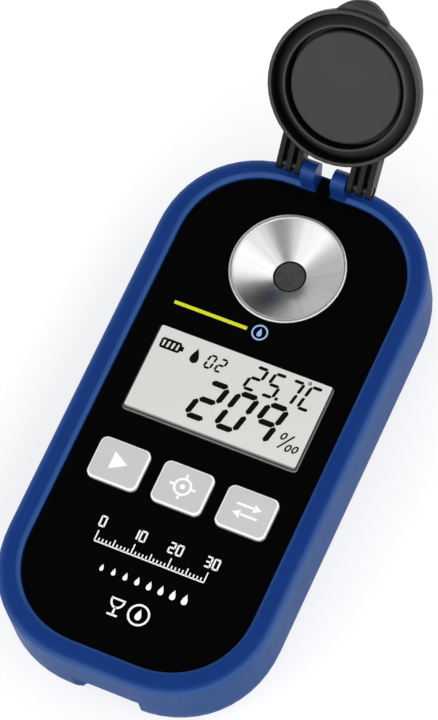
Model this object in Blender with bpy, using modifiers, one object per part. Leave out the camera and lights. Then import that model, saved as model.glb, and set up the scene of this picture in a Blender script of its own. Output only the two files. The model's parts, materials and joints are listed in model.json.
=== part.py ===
"""Handheld digital refractometer for must, wort and syrup, modelled as an assembly.

+X is to the right, +Y runs from the keys to the hinged lid, and +Z leaves the face.
The origin is at the middle of the flat back. The lid stands open. Every length in
this file is in millimetres, and the helpers turn them into metres.
"""

import math

import bmesh
import bpy
from mathutils import Matrix, Vector

MM = 0.001

# Housing
BODY_WIDTH = 58.0
BODY_LENGTH = 115.1
BODY_MIDDLE = -0.25
BODY_CORNER = 22.0
CORNER_POWER = 2.12
CORNER_STEPS = 14
LABEL_TOP = 18.2
RIM_TOP = 19.4
PARTING = 18.4
PARTING_GAP = 0.15
BACK_FILLET_HEIGHT = 6.0
BACK_FILLET_INSET = 5.0
BACK_FLOOR = 2.0
NOTCH_TOP = 9.6
NOTCH_HALF = (7.3, 5.0)
NOTCH_X = 1.0
NOTCH_Y = (-57.8, -53.5)
RIM_CHAMFER = 0.8
RIM_FILLET = (1.9, 0.8)
CLEARANCE = 0.3

# Face panel
FACE_HALF = (24.3, 53.1)
FACE_MIDDLE = 0.2
FACE_CORNER = 17.3
LABEL_THICKNESS = 0.5
PANEL_TOP = LABEL_TOP - LABEL_THICKNESS - CLEARANCE
PANEL_THICKNESS = 1.5
PANEL_BOTTOM = PANEL_TOP - PANEL_THICKNESS
SKIRT_BOTTOM = 15.0
SKIRT_INSET = 3.1

# Display
DISPLAY = (0.3, 5.35)
WINDOW_HALF = (19.3, 9.75)
WINDOW_TOP = LABEL_TOP + 0.7
WINDOW_BOTTOM = 16.6
GLASS_TOP = 16.3
GLASS_BOTTOM = 14.6

# Keys
KEY_Y = -15.8
KEY_PITCH = 14.1
KEY_HALF = (5.5, 4.6)
KEY_CORNER = 1.5
KEY_TOP = LABEL_TOP + 0.8
KEY_STEM_BOTTOM = 14.2
KEY_NAMES = ("key_read", "key_zero", "key_unit")

# Main board
BOARD_LOW = 11.5
BOARD_HIGH = 12.7
BOARD_SCREWS = ((-20.5, 19.9), (20.5, 19.9))

# Gap in the rim between the hinge knuckles, with the tongue of the label in it
GAP_FLOOR = 18.85
TONGUE_HALF = 1.5
TONGUE_Y = (52.6, 56.6)

# Sample well
WELL_Y = 35.7
WELL_RADIUS = 12.1
WELL_RIM_TOP = LABEL_TOP + 0.7
WELL_BARREL = 11.0
WELL_BOTTOM = 12.6
PRISM_RADIUS = 3.1
PRISM_TOP = 14.6
ROUND_STEPS = 48

# Hinge and lid
HINGE_Y = 55.9
HINGE_Z = 22.6
HINGE_BARREL = 2.25
PIN_RADIUS = 0.85
EYE_RADIUS = 1.75
PIN_X = (2.2, 10.3)
KNUCKLE_X = (1.8, 4.9)
ARM_X = (5.2, 10.5)
RIB_WIDTH = 1.06
LID_OPEN_DEGREES = 137.0
LID_REACH = HINGE_Y - WELL_Y
LID_RADIUS = 16.28
LID_TOP = 2.7
LID_RIM = -3.7
LID_FLOOR = 0.7
TAB_HALF = 6.8
TAB_REACH = 2.2
POCKET_RADIUS = 12.55
PAD_RADIUS = 11.7
PAD_FACE = LID_RIM + 1.1

# Battery compartment
CELL_Y = -39.2
CELL_Z = 8.4
CELL_RADIUS = 5.25
CELL_LENGTH = 44.5
POCKET_HALF = (25.2, 6.2)
POCKET_TOP = 13.95
COVER_HALF_X = 23.3
COVER_Y = (-46.2, -25.9)
COVER_Z = (0.3, 1.6)
COVER_CORNER = 5.0
LEDGE = 2.8
COVER_SCREW_Y = -30.0

# Housing screws
HOUSING_SCREWS = ((-18.0, 47.0), (18.0, 47.0), (-11.0, -50.0), (11.0, -50.0))
POST_TOP = 5.0

BLUE = ((0.004, 0.028, 0.165), 0.42, 0.0)
BLACK = ((0.010, 0.010, 0.011), 0.30, 0.0)
RUBBER = ((0.018, 0.018, 0.019), 0.75, 0.0)
GREY_PLASTIC = ((0.058, 0.058, 0.058), 0.55, 0.0)
KEY_WHITE = ((0.60, 0.59, 0.61), 0.40, 0.0)
STEEL = ((0.70, 0.70, 0.71), 0.25, 1.0)
BRASS = ((0.62, 0.42, 0.16), 0.30, 1.0)
BOARD_GREEN = ((0.02, 0.14, 0.06), 0.50, 0.0)
GLASS = ((0.62, 0.64, 0.58), 0.08, 0.0)


def clear_scene():
    for obj in list(bpy.data.objects):
        bpy.data.objects.remove(obj, do_unlink=True)


def new_collection(name):
    collection = bpy.data.collections.new(name)
    bpy.context.scene.collection.children.link(collection)
    return collection


clear_scene()
PARTS = new_collection("refractometer")
CUTTERS = new_collection("cutters")
CUTTERS.hide_render = True


# ---- helpers ----------------------------------------------------------------


def add_object(name, mesh, collection):
    obj = bpy.data.objects.new(name, mesh)
    collection.objects.link(obj)
    if collection is CUTTERS:
        obj.hide_render = True
        obj.display_type = "WIRE"
    return obj


def as_object(bm, name, collection):
    """Turns a mesh in millimetres into an object in metres with its faces outward."""
    bmesh.ops.scale(bm, vec=(MM, MM, MM), verts=bm.verts)
    bmesh.ops.recalc_face_normals(bm, faces=bm.faces)
    mesh = bpy.data.meshes.new(name)
    bm.to_mesh(mesh)
    bm.free()
    return add_object(name, mesh, collection)


def finish(obj, look):
    """Gives a part its own material, and smooth round faces with crisp edges."""
    colour, roughness, metallic = look
    material = bpy.data.materials.new(obj.name)
    material.use_nodes = True
    shader = material.node_tree.nodes["Principled BSDF"]
    shader.inputs["Base Color"].default_value = (*colour, 1.0)
    shader.inputs["Roughness"].default_value = roughness
    shader.inputs["Metallic"].default_value = metallic
    obj.data.materials.append(material)
    obj.data.shade_smooth()
    obj.data.set_sharp_from_angle(angle=math.radians(32))
    return obj


def boolean(obj, other, operation):
    modifier = obj.modifiers.new(f"{operation.lower()} {other.name}", "BOOLEAN")
    modifier.operation = operation
    modifier.object = other


def cut(obj, *others):
    for other in others:
        boolean(obj, other, "DIFFERENCE")


def join(obj, *others):
    for other in others:
        boolean(obj, other, "UNION")


def outline(half_x, half_y, corner, power=2.0, steps=6):
    """Points round a rectangle with superelliptic corners, anticlockwise from +X."""
    points = []
    for quarter in range(4):
        for step in range(steps + 1):
            angle = math.radians(90.0 * (quarter + step / steps))
            wide, tall = math.cos(angle), math.sin(angle)
            side = 1 if quarter in (0, 3) else -1
            top = 1 if quarter in (0, 1) else -1
            points.append((
                side * (half_x - corner + corner * abs(wide) ** (2.0 / power)),
                top * (half_y - corner + corner * abs(tall) ** (2.0 / power)),
            ))
    return points


def lofted(name, levels, centre=(0.0, 0.0), power=2.0, steps=6, ring=False,
           collection=PARTS):
    """A solid through rounded rectangles (half_x, half_y, corner, z), or a ring of them."""
    bm = bmesh.new()
    rings = []
    for half_x, half_y, corner, z in levels:
        rings.append([
            bm.verts.new((centre[0] + x, centre[1] + y, z))
            for x, y in outline(half_x, half_y, corner, power, steps)
        ])
    pairs = list(zip(rings, rings[1:]))
    if ring:
        pairs.append((rings[-1], rings[0]))
    else:
        bm.faces.new(rings[0])
        bm.faces.new(rings[-1])
    for lower, upper in pairs:
        for here, there in zip(range(len(lower)), [*range(1, len(lower)), 0]):
            bm.faces.new((lower[here], lower[there], upper[there], upper[here]))
    bmesh.ops.remove_doubles(bm, verts=bm.verts, dist=1e-4)
    return as_object(bm, name, collection)


def body_level(inset, z):
    """One level of the housing, set in from its outer wall."""
    return (BODY_WIDTH / 2 - inset, BODY_LENGTH / 2 - inset, BODY_CORNER - inset, z)


def housing_loft(name, levels, ring=False, collection=PARTS):
    return lofted(
        name,
        [body_level(inset, z) for inset, z in levels],
        centre=(0.0, BODY_MIDDLE),
        power=CORNER_POWER,
        steps=CORNER_STEPS,
        ring=ring,
        collection=collection,
    )


def face_loft(name, levels, collection=PARTS):
    """A solid on the outline of the label, through levels of (growth, z)."""
    half_x, half_y = FACE_HALF
    return lofted(
        name,
        [(half_x + grow, half_y + grow, FACE_CORNER + grow, z) for grow, z in levels],
        centre=(0.0, FACE_MIDDLE),
        power=CORNER_POWER,
        steps=CORNER_STEPS,
        collection=collection,
    )


def box(name, low, high, bevel=0.0, collection=PARTS):
    bm = bmesh.new()
    size = Vector(high) - Vector(low)
    middle = (Vector(high) + Vector(low)) / 2
    bmesh.ops.create_cube(bm, size=1.0)
    bmesh.ops.scale(bm, vec=size, verts=bm.verts)
    bmesh.ops.translate(bm, vec=middle, verts=bm.verts)
    if bevel:
        bmesh.ops.bevel(bm, geom=bm.edges, offset=bevel, segments=1, affect="EDGES")
    return as_object(bm, name, collection)


def cylinder(name, radius, start, end, sides=24, collection=PARTS):
    """A closed cylinder between two points."""
    bm = bmesh.new()
    axis = Vector(end) - Vector(start)
    middle = (Vector(end) + Vector(start)) / 2
    turn = axis.to_track_quat("Z", "Y").to_matrix().to_4x4()
    bmesh.ops.create_cone(
        bm, cap_ends=True, segments=sides, radius1=radius, radius2=radius,
        depth=axis.length, matrix=Matrix.Translation(middle) @ turn,
    )
    return as_object(bm, name, collection)


def turned(name, profile, centre=(0.0, 0.0), steps=24, closed=False, collection=PARTS):
    """A profile of (radius, z), down its outer side, turned about an upright axis."""
    bm = bmesh.new()
    points = [bm.verts.new((radius * MM, 0.0, z * MM)) for radius, z in profile]
    for one, two in zip(points, points[1:]):
        bm.edges.new((one, two))
    if closed:
        bm.edges.new((points[-1], points[0]))
    mesh = bpy.data.meshes.new(name)
    bm.to_mesh(mesh)
    bm.free()
    obj = add_object(name, mesh, collection)
    obj.location = (centre[0] * MM, centre[1] * MM, 0.0)
    screw = obj.modifiers.new("turn", "SCREW")
    screw.steps = steps
    screw.render_steps = steps
    screw.use_merge_vertices = True
    screw.merge_threshold = 0.00001
    return obj


def extruded(name, points, low, high, axis="Z", collection=PARTS):
    """A flat outline made thick: in XY along Z, in YZ along X, or in XZ along Y."""
    curve = bpy.data.curves.new(name, "CURVE")
    curve.dimensions = "2D"
    curve.fill_mode = "BOTH"
    curve.extrude = (high - low) / 2 * MM
    spline = curve.splines.new("POLY")
    spline.points.add(len(points) - 1)
    for point, (across, along) in zip(spline.points, points):
        point.co = (across * MM, along * MM, 0.0, 1.0)
    spline.use_cyclic_u = True
    guide = bpy.data.objects.new(f"{name} outline", curve)
    CUTTERS.objects.link(guide)
    bpy.context.view_layer.update()
    evaluated = guide.evaluated_get(bpy.context.evaluated_depsgraph_get())
    mesh = bpy.data.meshes.new_from_object(evaluated)
    bpy.data.objects.remove(guide, do_unlink=True)
    bm = bmesh.new()
    bm.from_mesh(mesh)
    bpy.data.meshes.remove(mesh)
    bmesh.ops.remove_doubles(bm, verts=bm.verts, dist=1e-7)
    bmesh.ops.dissolve_limit(bm, angle_limit=math.radians(1), verts=bm.verts, edges=bm.edges)
    bmesh.ops.scale(bm, vec=(1 / MM, 1 / MM, 1 / MM), verts=bm.verts)
    bmesh.ops.translate(bm, vec=(0.0, 0.0, (low + high) / 2), verts=bm.verts)
    turns = {
        "Z": Matrix.Identity(3),
        "X": Matrix(((0, 0, 1), (1, 0, 0), (0, 1, 0))),
        "Y": Matrix(((1, 0, 0), (0, 0, 1), (0, 1, 0))),
    }
    bmesh.ops.transform(bm, matrix=turns[axis].to_4x4(), verts=bm.verts)
    return as_object(bm, name, collection)


def arc(centre, radius, start, end, steps):
    """Points on an arc, with its angles in degrees."""
    angles = [start + (end - start) * step / steps for step in range(steps + 1)]
    return [
        (
            centre[0] + radius * math.cos(math.radians(angle)),
            centre[1] + radius * math.sin(math.radians(angle)),
        )
        for angle in angles
    ]


def screw(name, place, head, shaft, drive):
    """A screw that is driven from below: head (radius, low, high), shaft (radius, tip)."""
    head_radius, low, high = head
    shaft_radius, tip = shaft
    obj = turned(
        name,
        [
            (0.0, tip),
            (shaft_radius * 0.6, tip),
            (shaft_radius, tip - shaft_radius * 0.8),
            (shaft_radius, high),
            (head_radius, high),
            (head_radius, low + 0.3),
            (head_radius - 0.3, low),
            (0.0, low),
        ],
        centre=place,
        steps=12,
    )
    arm, half = drive, drive * 0.24
    floor = low + (high - low) * 0.6
    for slot, (reach_x, reach_y) in enumerate(((arm, half), (half, arm))):
        cut(obj, box(
            f"{name} drive {slot}",
            (place[0] - reach_x, place[1] - reach_y, low - 1.0),
            (place[0] + reach_x, place[1] + reach_y, floor + slot * 0.02),
            collection=CUTTERS,
        ))
    return finish(obj, STEEL)


# ---- housing ----------------------------------------------------------------


def back_fillet(steps=6):
    """(inset, z) from the flat back up to the straight wall."""
    levels = []
    for step in range(steps + 1):
        angle = math.radians(90.0 * step / steps)
        levels.append((
            BACK_FILLET_INSET * (1 - math.sin(angle)),
            BACK_FILLET_HEIGHT * (1 - math.cos(angle)),
        ))
    return levels


def make_rear_shell():
    shell = housing_loft("rear_shell", [*back_fillet(), (0.0, PARTING)])
    wall, lip = 2.4, 1.6
    step_z = SKIRT_BOTTOM + CLEARANCE
    cavity = [(6.5, BACK_FLOOR), (4.0, BACK_FLOOR + 0.7), (wall, 5.0), (wall, step_z),
              (lip, step_z), (lip, RIM_TOP)]
    cut(shell, housing_loft("rear cavity", cavity, collection=CUTTERS))

    tub_low_y = COVER_Y[0] - 1.0
    tub_high_y = COVER_Y[1] + 1.2
    tub = box("battery tub", (-28.0, tub_low_y, 1.0), (28.0, tub_high_y, 14.7),
              collection=CUTTERS)
    skin = 1.0
    limit = [*[(inset + skin, z) for inset, z in back_fillet()], (skin, PARTING)]
    boolean(tub, housing_loft("tub limit", limit, collection=CUTTERS), "INTERSECT")
    join(shell, tub)
    backing = NOTCH_HALF[0] + 1.5
    join(shell, box("notch backing", (NOTCH_X - backing, NOTCH_Y[0] + 1.2, 1.5),
                    (NOTCH_X + backing, NOTCH_Y[1] + 1.5, NOTCH_TOP + 1.4),
                    collection=CUTTERS))
    for index, (x, y) in enumerate(HOUSING_SCREWS):
        post = cylinder(f"post {index}", 3.4, (x, y, 1.0), (x, y, POST_TOP),
                        collection=CUTTERS)
        join(shell, post)

    middle_y = sum(COVER_Y) / 2
    half_y = (COVER_Y[1] - COVER_Y[0]) / 2 + CLEARANCE
    recess_x = COVER_HALF_X + CLEARANCE
    cut(shell, lofted("cover recess", [(recess_x, half_y, COVER_CORNER, -1.0),
                                       (recess_x, half_y, COVER_CORNER, LEDGE)],
                      centre=(0.0, middle_y), collection=CUTTERS))
    pocket_y = POCKET_HALF[1]
    cut(shell, box("cell opening", (-22.5, CELL_Y - pocket_y, 2.0),
                   (22.5, CELL_Y + pocket_y, POCKET_TOP), collection=CUTTERS))
    cut(shell, box("cell pocket", (-POCKET_HALF[0], CELL_Y - pocket_y, 3.6),
                   (POCKET_HALF[0], CELL_Y + pocket_y, POCKET_TOP - 0.02),
                   collection=CUTTERS))
    cut(shell, cylinder("insert bore", 2.3, (0.0, COVER_SCREW_Y, 2.0),
                        (0.0, COVER_SCREW_Y, 8.2), collection=CUTTERS))
    wide, narrow = NOTCH_HALF
    mouth, back = NOTCH_Y
    notch = [(-wide, mouth - 3.0), (wide, mouth - 3.0), (wide, mouth), (narrow, back),
             (-narrow, back), (-wide, mouth)]
    cut(shell, extruded("end notch", [(NOTCH_X + x, y) for x, y in notch], -1.0, NOTCH_TOP,
                        collection=CUTTERS))
    for index, (x, y) in enumerate(HOUSING_SCREWS):
        cut(
            shell,
            cylinder(f"counterbore {index}", 2.7, (x, y, -1.0), (x, y, 2.6),
                     collection=CUTTERS),
            cylinder(f"screw hole {index}", 1.5, (x, y, 2.0), (x, y, POST_TOP + 1.0),
                     sides=16, collection=CUTTERS),
        )
    finish(shell, BLUE)


def rim_fillet(steps=6):
    """(inset, z) over the broad crown of the rim, from the parting line up."""
    width, height = RIM_FILLET
    levels = [(0.0, PARTING + PARTING_GAP)]
    for step in range(steps + 1):
        angle = math.radians(90.0 * step / steps)
        levels.append((
            width * (1 - math.cos(angle)),
            RIM_TOP - height * (1 - math.sin(angle)),
        ))
    return levels


def knuckle_outline():
    """The hinge knuckle seen along X: a hook that rises from the rim round the pin."""
    barrel = arc((HINGE_Y, HINGE_Z), HINGE_BARREL, -20.0, 180.0, 16)
    foot = [(HINGE_Y - 2.35, RIM_TOP + 1.2), (HINGE_Y - 2.3, LABEL_TOP + 0.1),
            (HINGE_Y + 0.9, LABEL_TOP + 0.6), (HINGE_Y + 1.1, RIM_TOP)]
    return [*barrel, *foot]


def make_front_shell():
    shell = housing_loft(
        "front_shell",
        [(SKIRT_INSET, SKIRT_BOTTOM), (SKIRT_INSET, PARTING + PARTING_GAP), *rim_fillet()],
    )
    flare = [
        (CLEARANCE, PANEL_TOP),
        (CLEARANCE, RIM_TOP - RIM_CHAMFER),
        (CLEARANCE + RIM_CHAMFER, RIM_TOP),
        (CLEARANCE + 2 * RIM_CHAMFER, RIM_TOP + RIM_CHAMFER),
    ]
    cut(shell, face_loft("face recess", flare, collection=CUTTERS))
    under = [(SKIRT_INSET + 1.2, SKIRT_BOTTOM - 1.0), (SKIRT_INSET + 1.2, PANEL_BOTTOM)]
    cut(shell, housing_loft("skirt hollow", under, collection=CUTTERS))

    for side in (-1, 1):
        low, high = sorted((side * KNUCKLE_X[0], side * KNUCKLE_X[1]))
        join(shell, extruded(f"knuckle {side}", knuckle_outline(), low, high, axis="X",
                             collection=CUTTERS))
    for index, (x, y) in enumerate(HOUSING_SCREWS):
        join(shell, cylinder(f"boss {index}", 2.3, (x, y, POST_TOP + CLEARANCE),
                             (x, y, PANEL_BOTTOM + 0.5), collection=CUTTERS))
    for index, (x, y) in enumerate(BOARD_SCREWS):
        join(shell, cylinder(f"board boss {index}", 1.9, (x, y, BOARD_HIGH + CLEARANCE),
                             (x, y, PANEL_BOTTOM + 0.5), sides=16, collection=CUTTERS))

    below, above = PANEL_BOTTOM - 1.0, LABEL_TOP + 3.0
    window = [(WINDOW_HALF[0] + CLEARANCE, WINDOW_HALF[1] + CLEARANCE, 1.3, z)
              for z in (below, above)]
    cut(shell, lofted("display opening", window, centre=DISPLAY,
                      collection=CUTTERS))
    for index in range(3):
        hole = [(KEY_HALF[0] + CLEARANCE, KEY_HALF[1] + CLEARANCE, KEY_CORNER + CLEARANCE, z)
                for z in (below, above)]
        cut(shell, lofted(f"key opening {index}", hole,
                          centre=((index - 1) * KEY_PITCH, KEY_Y), collection=CUTTERS))
    cut(shell, cylinder("well opening", WELL_BARREL + CLEARANCE, (0.0, WELL_Y, below),
                        (0.0, WELL_Y, above), sides=ROUND_STEPS, collection=CUTTERS))
    for side in (-1, 1):
        cut(shell, cylinder(f"pin bore {side}", PIN_RADIUS + CLEARANCE,
                            (side * (PIN_X[0] - 0.1), HINGE_Y, HINGE_Z),
                            (side * 6.0, HINGE_Y, HINGE_Z), collection=CUTTERS))
    cut(shell, box("hinge gap", (-KNUCKLE_X[0], TONGUE_Y[0], GAP_FLOOR),
                   (KNUCKLE_X[0], HINGE_Y + 4.0, RIM_TOP + 3.0), collection=CUTTERS))
    for index, (x, y) in enumerate(HOUSING_SCREWS):
        cut(shell, cylinder(f"boss bore {index}", 1.4, (x, y, 4.0), (x, y, 12.5), sides=16,
                            collection=CUTTERS))
    for index, (x, y) in enumerate(BOARD_SCREWS):
        cut(shell, cylinder(f"board bore {index}", 1.1, (x, y, 12.0), (x, y, 15.6), sides=16,
                            collection=CUTTERS))
    finish(shell, BLUE)


def make_housing_gasket():
    low = SKIRT_BOTTOM + 2 * CLEARANCE
    outer, inner = 1.9, SKIRT_INSET - CLEARANCE
    section = [(outer, low), (outer, low + 1.0), (inner, low + 1.0), (inner, low)]
    finish(housing_loft("housing_gasket", section, ring=True), RUBBER)


def make_front_label():
    low = LABEL_TOP - LABEL_THICKNESS
    label = face_loft("front_label", [(0.0, low), (0.0, LABEL_TOP)])
    shelf = GAP_FLOOR + CLEARANCE
    start, end = TONGUE_Y
    riser = box("tongue riser", (-TONGUE_HALF, start, low + 0.2),
                (TONGUE_HALF, FACE_HALF[1], shelf + 0.3), collection=CUTTERS)
    tongue = box("tongue", (-TONGUE_HALF, start + 0.1, shelf),
                 (TONGUE_HALF, end, shelf + 0.32), collection=CUTTERS)
    join(label, riser, tongue)
    below, above = low - 1.0, LABEL_TOP + 1.0
    window = [(WINDOW_HALF[0] + CLEARANCE, WINDOW_HALF[1] + CLEARANCE, 1.3, z)
              for z in (below, above)]
    cut(label, lofted("label window", window, centre=DISPLAY, collection=CUTTERS))
    for index in range(3):
        hole = [(KEY_HALF[0] + CLEARANCE, KEY_HALF[1] + CLEARANCE, KEY_CORNER + CLEARANCE, z)
                for z in (below, above)]
        cut(label, lofted(f"label key hole {index}", hole,
                          centre=((index - 1) * KEY_PITCH, KEY_Y), collection=CUTTERS))
    cut(label, cylinder("label well hole", WELL_BARREL + CLEARANCE, (0.0, WELL_Y, below),
                        (0.0, WELL_Y, above), sides=ROUND_STEPS, collection=CUTTERS))
    finish(label, BLACK)


# ---- display, keys and electronics ------------------------------------------


def make_display():
    half_x, half_y = WINDOW_HALF
    bevel = 0.8
    window = [(half_x, half_y, 1.0, WINDOW_BOTTOM), (half_x, half_y, 1.0, WINDOW_TOP - 0.5),
              (half_x - bevel, half_y - bevel, 0.6, WINDOW_TOP)]
    finish(lofted("display_window", window, centre=DISPLAY, steps=4), GLASS)
    glass = [(half_x - 0.2, half_y - 0.2, 0.4, z) for z in (GLASS_BOTTOM, GLASS_TOP)]
    finish(lofted("lcd_glass", glass, centre=DISPLAY, steps=2), GLASS)
    inner = (half_x + 0.1, half_y + 0.1, 0.6)
    outer = (half_x + 2.2, half_y + 2.2, 1.2)
    low, high = BOARD_HIGH + CLEARANCE, PANEL_BOTTOM - CLEARANCE
    frame = [(*outer, low), (*outer, high), (*inner, high), (*inner, low)]
    finish(lofted("lcd_holder", frame, centre=DISPLAY, steps=2, ring=True), BLACK)
    for name, side in (("zebra_strip_upper", 1), ("zebra_strip_lower", -1)):
        middle = DISPLAY[1] + side * 8.2
        strip = box(name, (-17.0, middle - 0.8, BOARD_HIGH + CLEARANCE),
                    (17.0, middle + 0.8, GLASS_BOTTOM - CLEARANCE))
        finish(strip, RUBBER)


def make_keys():
    cap_x, cap_y = KEY_HALF
    flange_top = PANEL_BOTTOM - CLEARANCE
    flange_low = flange_top - 0.9
    for index, name in enumerate(KEY_NAMES):
        x = (index - 1) * KEY_PITCH
        levels = [
            (1.5, 1.5, 1.5, KEY_STEM_BOTTOM),
            (1.5, 1.5, 1.5, flange_low),
            (cap_x + 0.8, cap_y + 0.8, KEY_CORNER, flange_low),
            (cap_x + 0.8, cap_y + 0.8, KEY_CORNER, flange_top),
            (cap_x, cap_y, KEY_CORNER, flange_top),
            (cap_x, cap_y, KEY_CORNER, KEY_TOP - 0.4),
            (cap_x - 0.12, cap_y - 0.12, KEY_CORNER - 0.1, KEY_TOP - 0.15),
            (cap_x - 0.45, cap_y - 0.45, KEY_CORNER - 0.4, KEY_TOP),
        ]
        finish(lofted(name, levels, centre=(x, KEY_Y), steps=5), KEY_WHITE)
        low = BOARD_HIGH + CLEARANCE
        dome = turned(
            f"{name}_snap_dome",
            [(0.0, low + 0.5), (1.6, low + 0.42), (3.0, low + 0.12), (3.0, low), (0.0, low)],
            centre=(x, KEY_Y),
            steps=20,
        )
        finish(dome, STEEL)


def make_electronics():
    board = box("main_board", (-23.4, -18.4, BOARD_LOW), (23.4, 22.4, BOARD_HIGH))
    for index, (x, y) in enumerate(BOARD_SCREWS):
        cut(board, cylinder(f"board hole {index}", 1.1, (x, y, 10.0), (x, y, 14.0), sides=16,
                            collection=CUTTERS))
    finish(board, BOARD_GREEN)
    below = BOARD_LOW - CLEARANCE
    finish(box("microcontroller", (-3.5, -6.0, below - 0.9), (3.5, 1.0, below), bevel=0.15),
           BLACK)
    finish(box("flex_connector", (7.0, 17.4, below - 1.6), (13.0, 20.4, below), bevel=0.15),
           KEY_WHITE)
    for index, place in enumerate(BOARD_SCREWS):
        screw(f"board_screw_{index + 1}", place, (1.8, below - 1.2, below), (0.8, 15.2), 0.9)


# ---- sample well and optics -------------------------------------------------


def make_well():
    well = turned(
        "sample_well",
        [
            (11.15, WELL_RIM_TOP),
            (WELL_RADIUS - 0.25, WELL_RIM_TOP),
            (WELL_RADIUS, WELL_RIM_TOP - 0.2),
            (WELL_RADIUS, LABEL_TOP + CLEARANCE),
            (WELL_BARREL, LABEL_TOP + CLEARANCE),
            (WELL_BARREL, WELL_BOTTOM),
            (5.2, WELL_BOTTOM),
            (5.2, WELL_BOTTOM + 1.0),
            (PRISM_RADIUS + CLEARANCE, WELL_BOTTOM + 1.0),
            (PRISM_RADIUS + CLEARANCE, PRISM_TOP - 0.1),
        ],
        centre=(0.0, WELL_Y),
        steps=ROUND_STEPS,
        closed=True,
    )
    for side in (-1, 1):
        y = WELL_Y + side * 8.6
        cut(well, cylinder(f"well thread {side}", 1.1, (0.0, y, 12.0), (0.0, y, 14.4), sides=16,
                           collection=CUTTERS))
    cut(well, cylinder("probe hole", 0.8, (9.3, WELL_Y + 2.5, 12.0), (9.3, WELL_Y + 2.5, 14.2),
                       sides=12, collection=CUTTERS))
    finish(well, STEEL)

    seal_low = WELL_BOTTOM - 0.1
    seal = [(4.9, seal_low + 0.8), (4.9, seal_low), (PRISM_RADIUS + CLEARANCE, seal_low),
            (PRISM_RADIUS + CLEARANCE, seal_low + 0.8)]
    finish(turned("prism_seal", seal, centre=(0.0, WELL_Y), closed=True), RUBBER)
    top = PANEL_BOTTOM - CLEARANCE
    inner = WELL_BARREL + CLEARANCE
    gasket = [(12.6, top), (12.6, top - 1.2), (inner, top - 1.2), (inner, top)]
    finish(turned("well_gasket", gasket, centre=(0.0, WELL_Y), steps=32, closed=True), RUBBER)
    top -= 1.2 + CLEARANCE
    collar = [(13.2, top), (13.2, top - 1.0), (inner, top - 1.0), (inner, top)]
    finish(turned("well_retaining_ring", collar, centre=(0.0, WELL_Y), steps=32, closed=True),
           BRASS)


def make_optics():
    block_top = WELL_BOTTOM - 0.4
    trapezoid = [(-2.6, 8.0), (2.6, 8.0), (5.6, block_top), (-5.6, block_top)]
    prism = extruded("prism", trapezoid, WELL_Y - 4.0, WELL_Y + 4.0, axis="Y")
    join(prism, cylinder("prism face", PRISM_RADIUS, (0.0, WELL_Y, 11.0),
                         (0.0, WELL_Y, PRISM_TOP), sides=48, collection=CUTTERS))
    finish(prism, GREY_PLASTIC)

    channel_z = 9.8
    block = box("optical_block", (-7.9, WELL_Y - 10.6, 2.6), (7.9, WELL_Y + 10.6, 12.3))
    cut(
        block,
        box("prism pocket", (-6.3, WELL_Y - 4.4, 7.4), (6.3, WELL_Y + 4.4, 13.0),
            collection=CUTTERS),
        cylinder("light channel", 1.9, (-9.0, WELL_Y, channel_z), (9.0, WELL_Y, channel_z),
                 sides=20, collection=CUTTERS),
    )
    for side in (-1, 1):
        y = WELL_Y + side * 8.6
        cut(
            block,
            cylinder(f"block hole {side}", 1.1, (0.0, y, 2.0), (0.0, y, 13.0), sides=16,
                     collection=CUTTERS),
            cylinder(f"block counterbore {side}", 1.9, (0.0, y, 2.0), (0.0, y, 9.3), sides=16,
                     collection=CUTTERS),
        )
        number = 1 if side < 0 else 2
        screw(f"optics_screw_{number}", (0.0, y), (1.6, 7.8, 9.0), (0.8, 14.1), 0.9)
    finish(block, BLACK)

    lens = cylinder("condenser_lens", 1.5, (-7.7, WELL_Y, channel_z),
                    (-6.5, WELL_Y, channel_z), sides=20)
    finish(lens, GLASS)
    finish(cylinder("light_source", 1.4, (-11.7, WELL_Y, channel_z),
                    (-8.3, WELL_Y, channel_z), sides=20), KEY_WHITE)
    light_board = box("light_board", (-12.8, WELL_Y - 6.0, 4.0), (-12.0, WELL_Y + 6.0, 12.0))
    finish(light_board, BOARD_GREEN)
    finish(box("line_sensor", (8.3, WELL_Y - 5.0, 8.4), (9.6, WELL_Y + 5.0, 11.2), bevel=0.12),
           BLACK)
    finish(box("sensor_board", (9.9, WELL_Y - 7.0, 4.0), (10.7, WELL_Y + 7.0, 12.0)),
           BOARD_GREEN)
    flex = [(11.0, WELL_Y + 4.0), (11.0, 26.0), (9.8, 20.8), (10.1, 20.7), (11.3, 25.9),
            (11.3, WELL_Y + 4.0)]
    finish(extruded("sensor_flex_cable", flex, 6.6, 10.6), BRASS)
    finish(cylinder("temperature_probe", 0.5, (9.3, WELL_Y + 2.5, 11.6),
                    (9.3, WELL_Y + 2.5, 13.9), sides=12), STEEL)


# ---- battery ----------------------------------------------------------------


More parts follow.
